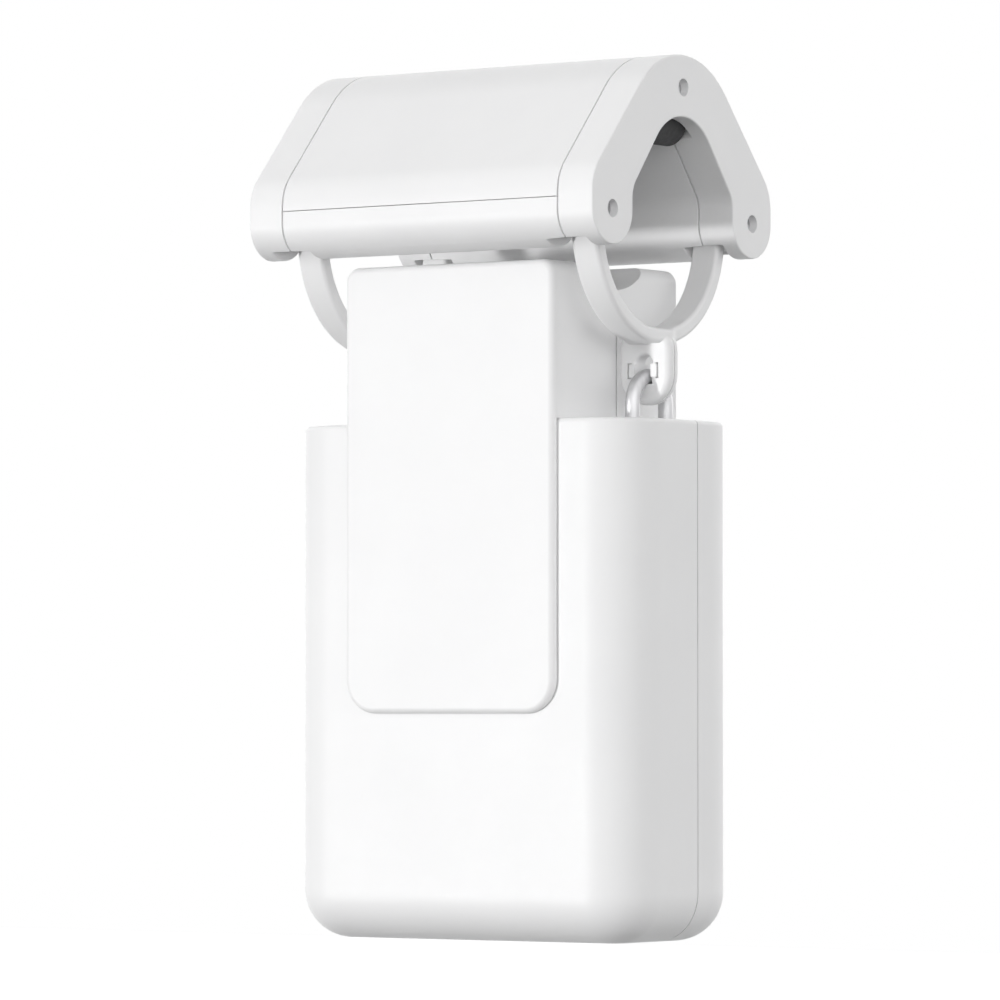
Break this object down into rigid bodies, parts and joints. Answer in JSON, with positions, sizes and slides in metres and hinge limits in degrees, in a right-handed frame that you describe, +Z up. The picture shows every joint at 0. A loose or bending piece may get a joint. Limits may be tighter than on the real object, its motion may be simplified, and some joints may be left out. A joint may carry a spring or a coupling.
{
  "type": "smart curtain robot",
  "caption": "Curtain robot hung on a round rod by an arched roller saddle and two hooped straps, with a sprung case below that presses a motor-driven wheel up against the rod.",
  "frame": {"origin": "on the rod axis at the middle of the saddle's length", "axes": "+X along the rod to the right as seen from the front, -Y the front, +Z up"},
  "size_m": [0.087, 0.0654, 0.1802],
  "materials": {
    "white_plastic": "fine matte moulded",
    "inner_plastic": "moulded, unpainted",
    "hook_steel": "satin plated wire",
    "steel": "bright zinc",
    "dark_rubber": "matte",
    "brass": "machined",
    "gear_plastic": "moulded acetal",
    "battery_wrap": "shrink wrapped",
    "board": "solder mask",
    "dark_plastic": "moulded",
    "clear_plastic": "frosted clear"
  },
  "bodies": {
    "hanger": {"saddle_cover": "white_plastic", "saddle_chassis": "white_plastic", "end_cap_left": "white_plastic", "end_cap_right": "white_plastic", "end_cap_screws": "steel", "idler_axles": "steel", "hoop_left": "white_plastic", "hoop_right": "white_plastic", "hook_left": "hook_steel", "hook_right": "hook_steel", "hook_yokes": "steel", "hook_springs": "steel"},
    "idler_left": {"idler_core_left": "inner_plastic", "idler_tyre_left": "dark_rubber"},
    "idler_right": {"idler_core_right": "inner_plastic", "idler_tyre_right": "dark_rubber"},
    "drive_unit": {"case_front_shell": "white_plastic", "case_rear_shell": "white_plastic", "case_screws": "steel", "front_panel": "white_plastic", "neck_front_shell": "white_plastic", "neck_rear_shell": "white_plastic", "hook_guide_left": "inner_plastic", "hook_guide_right": "inner_plastic", "gear_plate_front": "steel", "gear_plate_mid": "steel", "gear_plate_rear": "steel", "plate_standoffs": "steel", "gear_axles": "steel", "wheel_bushes": "brass", "motor": "steel", "battery_cells": "battery_wrap", "battery_tray": "inner_plastic", "circuit_board": "board", "charging_port": "steel", "set_switch": "dark_plastic", "light_pipe": "clear_plastic"},
    "drive_wheel": {"drive_wheel_hub": "inner_plastic", "drive_wheel_tyre": "dark_rubber", "wheel_shaft": "steel", "wheel_gear": "gear_plastic"},
    "second_gear": {"second_stage_gear": "gear_plastic"},
    "first_gear": {"first_stage_gear": "gear_plastic"},
    "motor_rotor": {"motor_shaft": "steel", "motor_pinion": "brass"},
    "button": {"set_button": "white_plastic"}
  },
  "joints": [
    {"name": "case_lift", "type": "slide", "parent": "hanger", "child": "drive_unit", "axis": [0, 0, -1], "range_m": [0, 0.01], "stiffness_N_per_m": 800, "springref_m": -0.02, "deforming": ["hook_springs"]},
    {"name": "idler_spin_left", "type": "hinge", "parent": "hanger", "child": "idler_left", "pos_m": [-0.0345, 0, 0.0184], "axis": [0, 1, 0], "continuous": true},
    {"name": "idler_spin_right", "type": "hinge", "parent": "hanger", "child": "idler_right", "pos_m": [0.0345, 0, 0.0184], "axis": [0, 1, 0], "continuous": true},
    {"name": "wheel_spin", "type": "hinge", "parent": "drive_unit", "child": "drive_wheel", "pos_m": [0, 0, -0.029], "axis": [0, 1, 0], "continuous": true},
    {"name": "second_spin", "type": "hinge", "parent": "drive_unit", "child": "second_gear", "pos_m": [0, 0, -0.0434], "axis": [0, 1, 0], "continuous": true},
    {"name": "first_spin", "type": "hinge", "parent": "drive_unit", "child": "first_gear", "pos_m": [0, 0, -0.0569], "axis": [0, 1, 0], "continuous": true},
    {"name": "motor_spin", "type": "hinge", "parent": "drive_unit", "child": "motor_rotor", "pos_m": [0, 0, -0.0684], "axis": [0, 1, 0], "continuous": true},
    {"name": "button_press", "type": "slide", "parent": "drive_unit", "child": "button", "axis": [0, 0, 1], "range_m": [0, 0.0004], "stiffness_N_per_m": 500, "springref_m": -0.002}
  ],
  "couplings": [
    {"joint": "second_spin", "follows": "wheel_spin", "ratio": -3},
    {"joint": "first_spin", "follows": "wheel_spin", "ratio": 8.5714},
    {"joint": "motor_spin", "follows": "wheel_spin", "ratio": -24.286}
  ]
}
